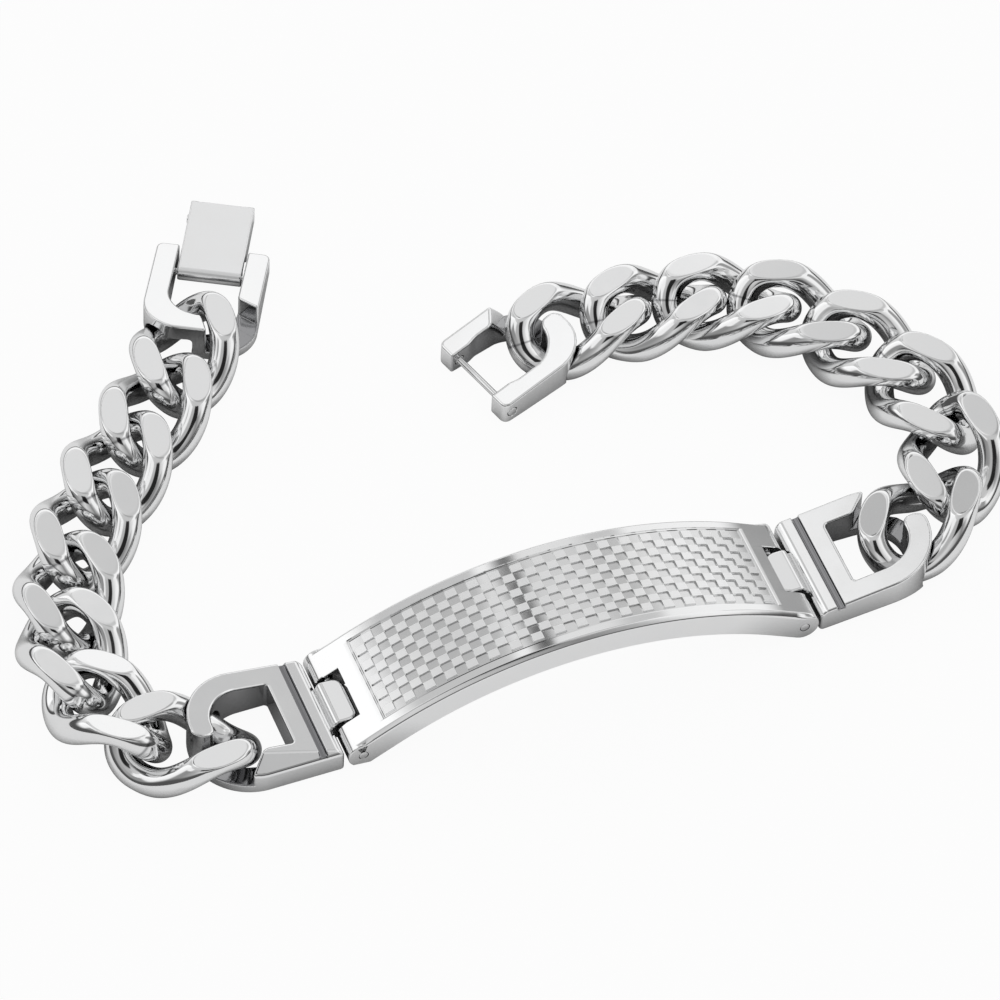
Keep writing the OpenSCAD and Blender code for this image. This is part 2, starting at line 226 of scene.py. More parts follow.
def place(row):
    """The matrix that the CAD places a link with."""
    x, y, z, heading, roll, pitch = row
    turn = (
        Matrix.Rotation(math.radians(heading), 4, "Z")
        @ Matrix.Rotation(math.radians(pitch), 4, "Y")
        @ Matrix.Rotation(math.radians(roll), 4, "X")
    )
    return Matrix.Translation((x - MID[0], y - MID[1], z)) @ turn


def frame_at(x, y, heading):
    """The matrix of a piece that stands level on the ground."""
    return Matrix.Translation((x - MID[0], y - MID[1], 0)) @ Matrix.Rotation(math.radians(heading), 4, "Z")


def placed(points, matrix):
    m = np.array(matrix)
    return np.asarray(points, dtype=float) @ m[:3, :3].T + m[:3, 3]


def add_piece(name, mesh, replaced, materials, body=CHAIN_BODY):
    obj = bpy.data.objects.new(name, mesh)
    bpy.context.scene.collection.objects.link(obj)
    for mat in materials:
        mesh.materials.append(mat)
    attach(obj, body)
    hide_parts(*replaced)
    return obj


def smooth_mesh(name, points, faces, matrix):
    """A smooth mesh of points in millimetres, kept inside the CAD's box."""
    mesh = bpy.data.meshes.new(name)
    mesh.from_pydata(np.clip(placed(points, matrix) * MM, cad_box[0], cad_box[1]).tolist(), [], faces)
    mesh.validate()
    mesh.polygons.foreach_set("use_smooth", [True] * len(mesh.polygons))
    return mesh


def mark_seam_and_shade(mesh, shares):
    """Sets how dark each vertex is, from 0 to 1: dark solder seams, and painted shade."""
    mesh.attributes.new("seam_and_shade", "FLOAT", "POINT").data.foreach_set("value", shares)


# Chain links

# rings along the wire, points round each ring, and radius of the rim round a ground face
RINGS, ROUND, RIM = 208, 68, 0.18
# a round wire that stays inside the CAD's box is a little thinner than the CAD's wire
WIRE_SHOWN = WIRE_R * 0.968
# where the soldered seam shows round the loop, and how dark it is
SEAM_AT = {"left": 160.0, "right": 3.0}
SEAM_DULL = 0.9
# points that the wire is measured with, and the angle ahead and behind that its direction is taken from
MEASURE_POINTS = 4001
AHEAD = math.radians(10)


def loop_points(t):
    """The wire's middle line at the angles t in radians, as the CAD has it."""
    c, s = np.cos(t), np.sin(t)
    x = LOOP_A * np.sign(c) * np.abs(c) ** (2 / LOOP_POWER)
    y = LOOP_B * np.sign(s) * np.abs(s) ** (2 / LOOP_POWER)
    turn = np.radians(LOOP_TWIST * np.sin(np.radians(90 * x / LOOP_A)))
    return np.stack([x, y * np.cos(turn), -y * np.sin(turn)], axis=1)


def even_angles(n):
    """n angles that space the rings evenly along the wire."""
    t = np.linspace(0, 2 * math.pi, MEASURE_POINTS)
    steps = np.linalg.norm(np.diff(loop_points(t), axis=0), axis=1)
    run = np.concatenate([[0], np.cumsum(steps)])
    return np.interp((np.arange(n) + 0.5) / n * run[-1], run, t)


def ground_flat(z):
    """Cuts z off at the ground faces, with a rim of radius about RIM."""
    low = LINK_T / 2 - RIM
    over = np.clip(np.abs(z) - low, 0, 2 * RIM)
    return np.sign(z) * (np.minimum(np.abs(z), low) + over - over**2 / (4 * RIM))


def link_shape():
    t = even_angles(RINGS)
    along = loop_points(t + AHEAD) - loop_points(t - AHEAD)
    along /= np.linalg.norm(along, axis=1)[:, None]
    side = np.cross(along, [0, 0, 1])
    side /= np.linalg.norm(side, axis=1)[:, None]
    up = np.cross(side, along)
    a = 2 * math.pi * (np.arange(ROUND) + 0.5) / ROUND
    ring = np.cos(a)[None, :, None] * side[:, None, :] + np.sin(a)[None, :, None] * up[:, None, :]
    points = loop_points(t)[:, None, :] + WIRE_SHOWN * ring
    points[:, :, 2] = ground_flat(points[:, :, 2])
    number = np.arange(RINGS * ROUND).reshape(RINGS, ROUND)
    ahead, beside = np.roll(number, -1, axis=0), np.roll(number, -1, axis=1)
    faces = np.stack([number, beside, np.roll(ahead, -1, axis=1), ahead], axis=-1)
    return points.reshape(-1, 3), faces.reshape(-1, 4).tolist()


LINK_POINTS, LINK_FACES = link_shape()


def add_link(side, number, row):
    mesh = smooth_mesh(f"chain_link_{side}_{number}", LINK_POINTS, LINK_FACES, place(row))
    seam = np.zeros((RINGS, ROUND))
    seam[np.abs(even_angles(RINGS) - math.radians(SEAM_AT[side])).argmin()] = SEAM_DULL
    mark_seam_and_shade(mesh, seam.reshape(-1))
    add_piece(mesh.name, mesh, [f"link_{side}_{number}"], [LINK_STEEL])


for side, chain in (("left", LEFT_CHAIN), ("right", RIGHT_CHAIN)):
    for i, row in enumerate(chain):
        add_link(side, i + 1, row)


# Fields: distances in millimetres, less than 0 inside the piece, in the piece's own frame

def both(a, b, r):
    """What lies inside a and inside b, with the edge between them rounded to the radius r."""
    return np.minimum(np.maximum(a, b) + r, 0) + np.hypot(np.maximum(a + r, 0), np.maximum(b + r, 0)) - r


def without(a, b, r):
    return both(a, -b, r)


def plane(p, at, slope_x, slope_y):
    """Height above the plane through the point at, as a true distance."""
    n = math.sqrt(slope_x**2 + slope_y**2 + 1)
    return (p[:, 2] - at[2] - slope_x * (p[:, 0] - at[0]) - slope_y * (p[:, 1] - at[1])) / n


# the distance given for points that are further from a wire than NEAR_WIRE
NEAR_WIRE, FAR = 3, 9.0
# how far a link's end reaches round its loop each way, and the points that it is given by
END_TURN, END_POINTS = 100, 70
# points worked out at a time, to save memory
WIRE_BATCH, GRID_BATCH = 60000, 300000


def to_wire(p, wire):
    """Distance to the middle of a link's wire, given as closely spaced points."""
    out = np.full(len(p), FAR)
    inside = (p > wire.min(0) - NEAR_WIRE) & (p < wire.max(0) + NEAR_WIRE)
    near = np.flatnonzero(np.all(inside, axis=1))
    for part in np.array_split(near, max(1, len(near) // WIRE_BATCH)):
        gap = p[part][:, None, :] - wire[None, :, :]
        out[part] = np.sqrt(np.einsum("ijk,ijk->ij", gap, gap).min(axis=1))
    return out


def wire_near(row, middle, where):
    """The wire of a link round the angle middle of its loop, in the frame of the piece it passes through."""
    t = np.radians(np.linspace(middle - END_TURN, middle + END_TURN, END_POINTS))
    return placed(loop_points(t), where.inverted() @ place(row))


# Meshes from fields

# cell size, and the cells before and after a piece: odd shares, so that no flat face falls on grid points
STEP = 0.11
CELLS_BEFORE = (1.37, 1.56, 1.75)
CELLS_AFTER = 1.6
# rounds that move the points onto the surface, how far they may move in cells, and the least squared slope
SETTLE_ROUNDS, SETTLE_REACH, LEAST_SLOPE = 3, 0.7, 0.25
# distances that slopes are taken over, for moving the points and for the normals
SETTLE_DELTA, NORMAL_DELTA = 0.01, 0.025


def grid_values(field, axes):
    grid = np.stack(np.meshgrid(*axes, indexing="ij"), axis=-1).reshape(-1, 3)
    parts = np.array_split(grid, 1 + len(grid) // GRID_BATCH)
    return np.concatenate([field(part) for part in parts]).reshape([len(axis) for axis in axes])


def net_points(val):
    """A point in each grid cell that the surface crosses, in cells, and the points' numbers by cell."""
    cells = tuple(n - 1 for n in val.shape)
    total = np.zeros(cells + (3,))
    count = np.zeros(cells)

    def at(corner):
        return val[tuple(slice(c, c + n) for c, n in zip(corner, cells))]

    for corner in np.ndindex(2, 2, 2):
        for axis in (k for k in range(3) if not corner[k]):
            va = at(corner)
            vb = at(tuple(c + (k == axis) for k, c in enumerate(corner)))
            cross = (va < 0) != (vb < 0)
            part = np.where(cross, va / np.where(cross, va - vb, 1), 0)
            for k in range(3):
                total[..., k] += np.where(cross, corner[k] + (part if k == axis else 0), 0)
            count += cross
    used = count > 0
    number = np.full(cells, -1)
    number[used] = np.arange(used.sum())
    return np.argwhere(used) + total[used] / count[used][:, None], number


def net_quads(inside, number):
    """A quad for each grid edge that the surface crosses, between the points of the four cells round it."""
    shape = inside.shape
    faces = []
    for axis in range(3):
        u, v = (axis + 1) % 3, (axis + 2) % 3
        edges = np.argwhere(np.diff(inside, axis=axis))
        across = edges[:, [u, v]]
        edges = edges[np.all((across > 0) & (across < (shape[u] - 1, shape[v] - 1)), axis=1)]
        quad = []
        for back_u, back_v in ((1, 1), (0, 1), (0, 0), (1, 0)):
            cell = edges.copy()
            cell[:, u] -= back_u
            cell[:, v] -= back_v
            quad.append(number[tuple(cell.T)])
        quad = np.stack(quad, axis=1)
        turned = ~inside[tuple(edges.T)]
        quad[turned] = quad[turned][:, ::-1]
        faces.append(quad)
    return np.concatenate(faces)


def slope(field, p, delta):
    sides = [(field(p + d) - field(p - d)) / (2 * delta) for d in delta * np.eye(3)]
    return np.stack(sides, axis=1)


def surface_net(field, low, high, step):
    """The field's surface between the corners low and high, as points, quads and normals."""
    axes = [
        np.arange(start - before * step, end + CELLS_AFTER * step, step)
        for start, end, before in zip(low, high, CELLS_BEFORE)
    ]
    val = grid_values(field, axes)
    spots, number = net_points(val)
    start = np.array([axis[0] for axis in axes]) + step * spots
    points = start
    for _ in range(SETTLE_ROUNDS):
        g = slope(field, points, SETTLE_DELTA)
        points = points - (field(points) / np.maximum((g**2).sum(1), LEAST_SLOPE))[:, None] * g
        points = start + np.clip(points - start, -SETTLE_REACH * step, SETTLE_REACH * step)
    normals = slope(field, points, NORMAL_DELTA)
    normals /= np.maximum(np.linalg.norm(normals, axis=1), 1e-9)[:, None]
    return points, net_quads(val < 0, number), normals


def field_mesh(name, field, low, high, matrix, step=STEP, seam_and_shade=None):
    """The field's surface as a mesh; the darkening function gives the painted shade from the points and the
    normals.
    """
    points, faces, normals = surface_net(field, low, high, step)
    mesh = smooth_mesh(name, points, faces.tolist(), matrix)
    turn = np.array(matrix)[:3, :3]
    mesh.normals_split_custom_set_from_vertices((normals @ turn.T).tolist())
    if seam_and_shade is not None:
        mark_seam_and_shade(mesh, seam_and_shade(points, normals))
    return mesh


# Bows, which end links and shackles share

# height of a bow's low part
LOW_H = 1.05
# radius at a finger's tip, and of the edges: top, step, low part, underside, side bevels, link's channel
TIP_R = 1.0
TOP_RIM, STEP_RIM, LOW_RIM, UNDER_RIM, BEVEL_RIM, CHANNEL_RIM = 0.22, 0.35, 0.12, 0.14, 0.1, 0.1
# room round the link's wire in its channel, and the slope of the side bevels
CHANNEL_ROOM, SIDE_SLOPE = 0.22, 0.89
# places with painted shade: how near a wall, the low part and the channel they lie, and how upright a wall
# is
WALL_SKIN, LOW_ABOVE, LOW_BELOW, CHANNEL_SKIN, UPRIGHT = 0.12, 0.06, 0.3, 0.3, 0.6
# how dark their painted shade is on walls and elsewhere
WALL_SHADE, HIDDEN_SHADE = 0.5, 0.85


def bow_body(p, plan, top, finger, low_x, inner_y, slant, fall=0.0):
    """A bow of the given plan: high in the finger on one side and up to x = low_x on the other, else low.

    The step down slants outside y = inner_y and leans back at the slope fall.
    """
    x, y, z = p.T
    edge = x - low_x - np.maximum(0, y - inner_y) * slant
    edge = edge / np.where(y > inner_y, math.sqrt(1 + slant**2), 1)
    edge = (edge + fall * (z - LOW_H)) / math.sqrt(1 + fall**2)
    high = np.minimum(finger, both(plan, edge, STEP_RIM))
    return np.minimum(both(high, top, TOP_RIM), both(plan, z - LOW_H, LOW_RIM))


def under_side(p, width, slope_x):
    """The underside: the ground, and a bevel along the side at -width / 2."""
    return both(-p[:, 2], -plane(p, (0, -width / 2, 0), slope_x, -SIDE_SLOPE), BEVEL_RIM)


def climbing_top(p, height, rise):
    return (p[:, 2] - height - p[:, 0] * math.tan(rise)) * math.cos(rise)


def without_channel(a, p, wire):
    return without(a, to_wire(p, wire) - WIRE_R - CHANNEL_ROOM, CHANNEL_RIM)


def painted_shade_places(p, normals, inner_wall, wire):
    """Painted shade where shade falls: on the opening's walls, the low part under the link, and the link's
    channel.
    """
    height, up = p[:, 2], normals[:, 2]
    wall = (np.abs(inner_wall) < WALL_SKIN) & (np.abs(up) < UPRIGHT)
    low = (height < LOW_H + LOW_ABOVE) & (height > LOW_H - LOW_BELOW) & (up > UPRIGHT)
    channel = to_wire(p, wire) - WIRE_R < CHANNEL_SKIN
    return np.maximum(wall * WALL_SHADE, np.maximum(low * HIDDEN_SHADE, channel * HIDDEN_SHADE))


# End links

# radii of the bar's corners and the opening's, in plan, and of the opening's and the bevels' edges
BAR_CORNER, EYE_CORNER, EYE_RIM, END_RIM = 0.4, 0.35, 0.16, 0.12
# bevels at the bar's end and along the left end link's far side, and the slope of the one underneath
END_BEVEL, FAR_BEVEL, UNDER_SLOPE = 0.35, 0.25, 0.12
# radii in the groove and at its edges, the depth from which its painted shade is full, and how far that
# painted shade reaches
GROOVE_ROUND, GROOVE_RIM, GROOVE_SHADE_DEPTH = 0.18, 0.06, 0.25
SHADE_BESIDE, SHADE_BELOW = 0.06, 0.1
# tongue: width, reach past the pin, height of its middle, thickness, and where it ends inside the bar
TAB_W, TAB_REACH, TAB_Z, TAB_T, BAR_FROM = 5.1, 1.3, 1.53, 2.4, 1
# its radii: at the corners in plan, round the pin, and of the edges
TAB_CORNER, TAB_ROUND, TAB_TIP_RIM, TAB_RIM = 0.9, 1.8, 0.2, 0.22
END_BOX = (-3.6, -5.95, 0), (13.35, 5.95, 5.0)


def groove_frame(p):
    """Distances across an end link's groove and above its top there."""
    x, z = p[:, 0] - GROOVE_AT, p[:, 2] - END_H - GROOVE_AT * math.tan(END_RISE)
    cos, sin = math.cos(END_RISE), math.sin(END_RISE)
    return x * cos + z * sin, z * cos - x * sin


def eye_plan(p):
    """An end link's D-shaped opening in plan."""
    x, y = p[:, 0], p[:, 1]
    straight = both(np.abs(y) - EYE_R, EYE_FROM - x, EYE_CORNER)
    return np.where(x > END_BOW_X, np.hypot(x - END_BOW_X, y) - EYE_R, straight)


def tongue(p):
    """A flat tab, cut off square to the plate's end inside the notch."""
    x, y, z = p.T
    reach = (KNUCKLE_X - x) * math.cos(ARC) + (z - NOSE_R) * math.sin(ARC) - TAB_REACH
    tab = both(np.abs(y) - TAB_W / 2, reach, TAB_CORNER)
    tab = both(tab, np.hypot(x - KNUCKLE_X, z - NOSE_R) - TAB_ROUND, TAB_TIP_RIM)
    return both(tab, np.maximum(np.abs(z - TAB_Z) - TAB_T / 2, x - BAR_FROM), TAB_RIM)


def end_field(p, side, wire):
    """A bar with a cross groove, a D-shaped bow that is low where the link passes, and a tongue."""
    x, y, z = p.T
    straight = both(np.abs(y) - END_W / 2, -x, BAR_CORNER)
    outer = np.where(x > END_BOW_X, np.hypot(x - END_BOW_X, y) - END_W / 2, straight)
    plan = without(outer, eye_plan(p), EYE_RIM)
    top = both(climbing_top(p, END_H, END_RISE), (z - END_H - x) / math.sqrt(2) + END_BEVEL, END_RIM)
    if side == "left":
        top = both(top, plane(p, (0, END_W / 2, END_H - FAR_BEVEL), 0, -SIDE_SLOPE), END_RIM)
    finger = both(plan, y - END_LOW_Y, TIP_R)
    bow = bow_body(p, plan, top, finger, END_LOW_X, EYE_R, END_SLANT)
    bow = both(bow, under_side(p, END_W, UNDER_SLOPE), UNDER_RIM)
    across, above = groove_frame(p)
    bow = without(bow, both(np.abs(across) - GROOVE_W / 2, -above - GROOVE_DEEP, GROOVE_ROUND), GROOVE_RIM)
    bow = without_channel(bow, p, wire)
    pin_hole = PIN_HOLE_R - np.hypot(x - KNUCKLE_X, z - NOSE_R)
    return np.maximum(np.minimum(bow, tongue(p)), pin_hole)


def end_piece(side):
    where = frame_at(*PLATE_AT, PLATE_TURN)
    if side == "left":
        where = where @ Matrix.Rotation(math.pi, 4, "Z")
    where = where @ Matrix.Translation((PLATE_LEN / 2 + END_GAP, 0, 0))
    wire = wire_near(LEFT_CHAIN[0] if side == "left" else RIGHT_CHAIN[0], 180, where)

    def seam_and_shade(p, normals):
        # painted shade: darker with depth in the cross groove, and dark on the opening's walls, the low part
        # and the channel past the bar
        across, above = groove_frame(p)
        in_groove = (np.abs(across) < GROOVE_W / 2 + SHADE_BESIDE) * (-above < GROOVE_DEEP + SHADE_BELOW)
        groove = np.clip(-above / GROOVE_SHADE_DEPTH, 0, 1) * in_groove
        return np.maximum(groove, painted_shade_places(p, normals, eye_plan(p), wire) * (p[:, 0] > BAR_FROM))

    mesh = field_mesh(f"end_piece_{side}", lambda p: end_field(p, side, wire), *END_BOX, where, seam_and_shade=seam_and_shade)
    add_piece(mesh.name, mesh, [f"end_link_{side}"], [END_STEEL])


# Clasp shackles

# radii of the arms' tips in plan, and of the opening's and the bar hole's edges
ARM_CORNER, OPENING_RIM, HOLE_RIM = 0.7, 0.18, 0.05
BOW_UNDER_SLOPE = 0.1
SHACKLE_TOP = 4.6
# the right shackle's arms get slimmer behind their tips, and full again towards the bow
WAIST, WAIST_FROM, WAIST_IN, WAIST_OUT = 0.25, 0.9, 1.4, 2.2
# its step down lies further along, has another slant, and leans back
RIGHT_STEP, RIGHT_SLANT, RIGHT_FALL = 1.2, 0.85, 0.6
# a point of the left finger's end, beside the bow's end, its slope along the link, and its edges
FINGER_Y, FINGER_BACK, FINGER_SLOPE, FINGER_RIM = 0.75, 1.15, 0.33, 0.35
# the arch below that finger: its middle, half width, height, slope, corner radius, start and edge
ARCH_Y, ARCH_HALF, ARCH_H, ARCH_SLOPE = 2.1, 1.75, 2.35, 0.12
ARCH_ROUND, ARCH_FROM, ARCH_RIM = 0.5, 1.2, 0.2


def shackle(side):
    """A clasp shackle: two arms with a crossbar hole and a bow that is low where the link passes."""
    left = side == "left"
    size = LEFT_SHACKLE if left else RIGHT_SHACKLE
    width, half_room, tip = size["width"], size["room"] / 2, size["tip"]
    inner_x = BOW_END - BOW_W - half_room
    where = frame_at(*size["at"], size["turn"])
    wire = wire_near(LEFT_CHAIN[-1] if left else RIGHT_CHAIN[-1], 0, where)

    def inner_plan(p):
        x, y = p[:, 0], p[:, 1]
        waist = 0.0
        if not left:
            t = np.clip((x - WAIST_FROM) / WAIST_IN, 0, 1)
            waist = WAIST * t * t * (3 - 2 * t) * np.clip((inner_x + WAIST_OUT - x) / WAIST_OUT, 0, 1)
        return np.where(x > inner_x, np.hypot(x - inner_x, y), np.abs(y)) - half_room - waist

    def left_bow(p, plan, top):
        """The chain shows through an arch below the finger."""
        x, y, z = p.T
        end = (y - FINGER_Y - FINGER_SLOPE * (x - BOW_END + FINGER_BACK)) / math.hypot(1, FINGER_SLOPE)
        arch = both(np.abs(y + ARCH_Y) - ARCH_HALF, z - ARCH_H - ARCH_SLOPE * (y + ARCH_Y), ARCH_ROUND)
        arch = np.maximum(arch, inner_x + ARCH_FROM - x)
        finger = without(both(plan, end, FINGER_RIM), arch, ARCH_RIM)
        bow = bow_body(p, plan, top, finger, BOW_LOW_X, half_room, BOW_SLANT)
        return without(bow, arch, ARCH_RIM)

    def right_bow(p, plan, top):
        finger = both(plan, p[:, 1] - BOW_LOW_Y, TIP_R)
        return bow_body(p, plan, top, finger, BOW_LOW_X + RIGHT_STEP, half_room, RIGHT_SLANT, RIGHT_FALL)

    def field(p):
        x, y, z = p.T
        wide = np.abs(y) - width / 2
        outer = np.maximum(both(x - BOW_END, wide, BOW_CORNER), both(-x - tip, wide, ARM_CORNER))
        plan = without(outer, inner_plan(p), OPENING_RIM)
        bow = (left_bow if left else right_bow)(p, plan, climbing_top(p, BOW_H, BOW_RISE))
        bow = both(bow, under_side(p, width, BOW_UNDER_SLOPE), UNDER_RIM)
        bow = without_channel(bow, p, wire)
        return without(bow, np.hypot(x, z - BAR_Z) - size["hole"], HOLE_RIM)

    def seam_and_shade(p, normals):
        return painted_shade_places(p, normals, inner_plan(p), wire)

    low, high = (-tip, -width / 2, 0), (BOW_END, width / 2, SHACKLE_TOP)
    mesh = field_mesh(f"clasp_shackle_{side}", field, low, high, where, seam_and_shade=seam_and_shade)
    add_piece(mesh.name, mesh, [f"shackle_{side}"], [END_STEEL])


# Clasp lever

# the leaf's reach, width and thickness, the curl's outer and inner radius, and where the flanges start
LEAF_LEN, LEAF_W, LEAF_T = 8.7, 6.3, 0.7
CURL_R, CURL_HOLE_R, FLANGE_FROM = 0.8, 0.4, 3.2
# radii of the edges at the end, along the sides, and at the curl's hole
LEAF_END_RIM, LEAF_RIM, CURL_RIM = 0.1, 0.12, 0.04
# snap nub: radius, place from the leaf's end and above half the bar's height, and how far it stands out
NUB_R, NUB_X, NUB_Z, NUB_OUT = 0.45, 1.5, 0.3, 0.2
LEVER_STEP = 0.1


def lever_field(p):
    """A flat leaf that curls round the crossbar, with two side flanges and a snap nub."""
    x, y, z = p.T
    top, half = BAR_Z + CURL_R, LEAF_W / 2
    turn = np.hypot(x, z - BAR_Z)
    wide = np.abs(y) - half
    leaf = np.maximum(both(-LEAF_LEN - x, z - top, LEAF_END_RIM), np.maximum(x, top - LEAF_T - z))
    body = both(np.minimum(leaf, turn - CURL_R), wide, LEAF_RIM)
    flange = np.maximum(
        both(-LEAF_LEN - x, np.maximum(x + FLANGE_FROM, -z), LEAF_END_RIM),
        np.maximum(both(z - top, wide, LEAF_RIM), half - LEAF_T - np.abs(y)),
    )
    nub = both(
        np.hypot(x + LEAF_LEN - NUB_X, z - BAR_Z / 2 - NUB_Z) - NUB_R,
        np.maximum(-y - half - NUB_OUT, y + half - NUB_OUT),
        LEAF_RIM,
    )
    return without(np.minimum(np.minimum(body, flange), nub), turn - CURL_HOLE_R, CURL_RIM)


def lever():
    where = frame_at(*LEFT_SHACKLE["at"], LEFT_SHACKLE["turn"])
    low, high = (-LEAF_LEN, -LEAF_W / 2 - NUB_OUT, 0), (CURL_R, LEAF_W / 2, BAR_Z + CURL_R)
    mesh = field_mesh("clasp_lever", lever_field, low, high, where, step=LEVER_STEP)
    add_piece(mesh.name, mesh, ["clasp_flap"], [SATIN_STEEL], body="flap")


for side in ("left", "right"):
    end_piece(side)
    shackle(side)
lever()


# Name plate: s is a length along its middle line, and y a distance across it

HALF_W = PLATE_W / 2
# its radius, straight run, centre's height, and lengths to the arc's end, the pin, the notch and the frame
ARC_R = PLATE_R - PLATE_T / 2
RUN_ON = (PIN_X - ARC_R * math.sin(ARC)) / math.cos(ARC)
ARC_Z = NOSE_R + RUN_ON * math.sin(ARC) - ARC_R * math.cos(ARC)
ARC_S = ARC_R * ARC
END_S = ARC_S + RUN_ON
NOTCH_S = END_S - NOTCH_IN
FRAME_S = ARC_R * math.asin(FRAME_LEN / 2 / PLATE_R)
# checks: rows and columns, size, depth, and half the width of the walls between high and low
ROWS, COLUMNS = 10, 37
CHECK_Y, CHECK_S = 0.92, (2 * FRAME_S - 0.5) / COLUMNS
CHECK_DEEP, CHECK_WALL = 0.18, 0.035
# the groove frame's half width, to its last grid line and in full, and where the checks start inside it
GROOVE_LINE, GROOVE_HALF, CHECKS_INSIDE = 0.11, 0.115, 0.15
# bevel along the sides, how soft its upper edge is, and how it fades near the ends
BEVEL, BEVEL_SOFT = 0.42, 0.06
LEAST_BEVEL, FADE_LEN, FADE_PAST = 0.25, 1.2, 0.2
# radius of the plate's edges, and the end of their rounding as a squared share of it
EDGE_R, EDGE_END = 0.13, 0.998
# grid lines at the edges in shares of EDGE_R, and at the bevel, the notches and the groove frame
EDGE_LINES, BEVEL_LINES = (1.0, 0.7, 0.4, 0.2, 0.06, 0.0), (-0.06, -0.02, 0.02, 0.06)
NOTCH_LINES = (0, 0.03, 0.09)
GROOVE_LINES = (-GROOVE_LINE, -0.06, 0, 0.06, GROOVE_LINE)
# steps round each rounded end, the digits that grid lines are rounded to, and what counts as nothing
NOSE_STEPS, DIGITS, TINY = 14, 5, 1e-6
NOTCH_LINE_S, NOTCH_LINE_Y = round(NOTCH_S, DIGITS), round(NOTCH_W / 2, DIGITS)
NOSES = ("right", "left")
PLATE_SLOT, RECESS_SLOT, CHECK_SLOT = 0, 1, 2
SHARP_ANGLE = math.radians(30)


def plate_line(s):
    """Middle of the plate's thickness at the length s, and the direction out of its top there."""
    ang = max(-ARC, min(ARC, s / ARC_R))
    x, z = ARC_R * math.sin(ang), ARC_Z + ARC_R * math.cos(ang)
    over = s - ang * ARC_R
    return x + over * math.cos(ang), z - over * math.sin(ang), math.sin(ang), math.cos(ang)


def check_lines(count, size):
    """Grid lines just before and just after each edge of a row of checks, and one through each check."""
    edges = [(i - count / 2) * size for i in range(count + 1)]
    return [at + d for at in edges for d in (-CHECK_WALL, CHECK_WALL)] + [at + size / 2 for at in edges[:-1]]


def groove_lines(at):
    return [sign * (at + d) for sign in (-1, 1) for d in GROOVE_LINES]


def plate_rows():
    """The grid's places across the plate."""
    out = check_lines(ROWS, CHECK_Y) + groove_lines(FRAME_W / 2)
    for sign in (-1, 1):
        out += [sign * (HALF_W - EDGE_R * share) for share in EDGE_LINES]
        out += [sign * (HALF_W - BEVEL + d) for d in BEVEL_LINES]
        out += [sign * (NOTCH_W / 2 + d) for d in NOTCH_LINES]
    return sorted(set(round(v, DIGITS) for v in out))


def plate_loop():
    """The grid's places round the plate's side view, as (part, length s or angle round the nose)."""
    lengths = check_lines(COLUMNS, CHECK_S) + groove_lines(FRAME_S)
    for sign in (-1, 1):
        lengths += [sign * (NOTCH_S - d) for d in NOTCH_LINES]
        lengths += [sign * v for v in (END_S, (END_S + NOTCH_S) / 2, ARC_S)]
    lengths = sorted(set(round(v, DIGITS) for v in lengths))
    nose = [math.radians(90 - PLATE_ARC) - math.pi * k / NOSE_STEPS for k in range(1, NOSE_STEPS)]
    top = [("top", s) for s in lengths]
    under = [("under", s) for s in reversed(lengths)]
    return top + [("right", a) for a in nose] + under + [("left", a) for a in nose]


def is_raised(s, y):
    col, row = math.floor(s / CHECK_S + COLUMNS / 2), math.floor(y / CHECK_Y + ROWS / 2)
    return 0 <= col < COLUMNS and 0 <= row < ROWS and (col + row) % 2 == 0


def top_drop(s, y):
    """How far the top lies below the plate's full thickness."""
    beyond = max(abs(y) - FRAME_W / 2, abs(s) - FRAME_S)
    drop = 0.0
    if beyond < -CHECKS_INSIDE:
        drop = 0.0 if is_raised(s, y) else CHECK_DEEP
    elif beyond < GROOVE_LINE:
        if abs(beyond) < GROOVE_HALF:
            drop = FRAME_DEEP * (1 - (abs(beyond) / GROOVE_HALF) ** 2)
        if beyond < 0:
            drop = max(drop, CHECK_DEEP * min(1, -beyond / GROOVE_LINE))
    fade = max(LEAST_BEVEL, min(1.0, (END_S + FADE_PAST - abs(s)) / FADE_LEN))
    over = abs(y) - (HALF_W - BEVEL)
    if over > BEVEL_SOFT:
        drop += over * fade
    elif over > -BEVEL_SOFT:
        drop += fade * (over + BEVEL_SOFT) ** 2 / (4 * BEVEL_SOFT)
    return drop


def round_drop(over):
    """Drop of a rounded edge of radius EDGE_R, where over is the length beyond its start."""
    t = max(0.0, min(1.0, over / EDGE_R))
    return EDGE_R * (1 - math.sqrt(1 - min(EDGE_END, t * t)))


def plate_point(part, v, y):
    """The side view's place of the loop's point (part, v) in the row y."""
    away = abs(y)
    on_ear = part in NOSES or abs(v) > NOTCH_LINE_S - TINY
    drop = round_drop(away - (HALF_W - EDGE_R))
    if on_ear:
        drop += round_drop(NOTCH_LINE_Y + EDGE_R - away)
    if part in NOSES:
        sign = 1 if part == "right" else -1
        out = NOSE_R - drop
        return sign * (PIN_X + out * math.cos(v)), NOSE_R + sign * out * math.sin(v)
    x, z, nx, nz = plate_line(v)
    if part == "top":
        if away < NOTCH_LINE_Y and not on_ear:
            drop += round_drop(abs(v) - (NOTCH_LINE_S - EDGE_R))
        out = NOSE_R - drop - top_drop(v, y)
    else:
        out = drop - NOSE_R
    return x + out * nx, z + out * nz


def quads_between(ring, ring2):
    return [[ring[q - 1], ring[q], ring2[q], ring2[q - 1]] for q in (*range(1, len(ring)), 0)]


